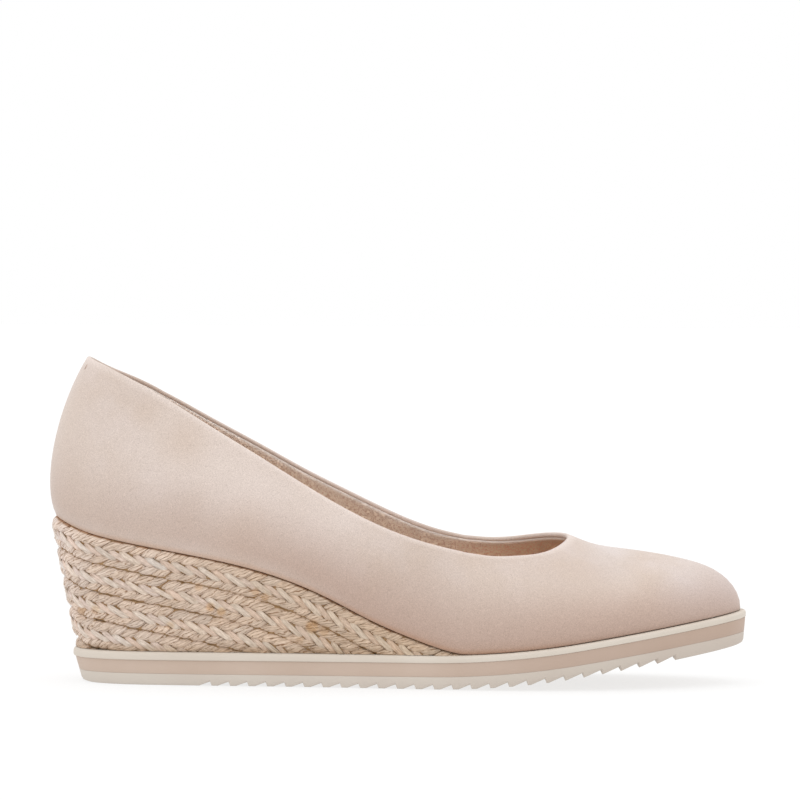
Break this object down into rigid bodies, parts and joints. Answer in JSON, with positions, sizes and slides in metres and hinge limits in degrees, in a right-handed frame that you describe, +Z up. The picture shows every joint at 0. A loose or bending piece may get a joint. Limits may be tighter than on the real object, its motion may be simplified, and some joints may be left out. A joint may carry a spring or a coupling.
{
  "type": "wedge pump",
  "caption": "Low-cut slip-on pump with a napped leather upper, a wedge heel wrapped in braided jute and a layered rubber platform sole with a saw-tooth tread.",
  "frame": {"origin": "middle of the shoe's bounding box, on the plane that its sole stands on", "axes": "+X from heel to toe, +Z up, -Y towards the outer side of the foot"},
  "size_m": [0.2504, 0.0809, 0.1162],
  "materials": {
    "nubuck": "napped, matte, pale pink-beige",
    "footbed": "matte, tan",
    "jute": "plaited natural and ivory fibre",
    "wedge_board": "foam core, covered",
    "welt_rubber": "satin, ivory",
    "band_rubber": "satin, pink-beige",
    "sole_rubber": "matte, ivory"
  },
  "bodies": {
    "root": {"outsole": "sole_rubber", "midsole": "band_rubber", "welt": "welt_rubber", "wedge": "wedge_board", "jute_braid_1": "jute", "jute_braid_2": "jute", "jute_braid_3": "jute", "jute_braid_4": "jute", "jute_braid_5": "jute", "upper": "nubuck", "insole": "footbed"}
  },
  "joints": []
}
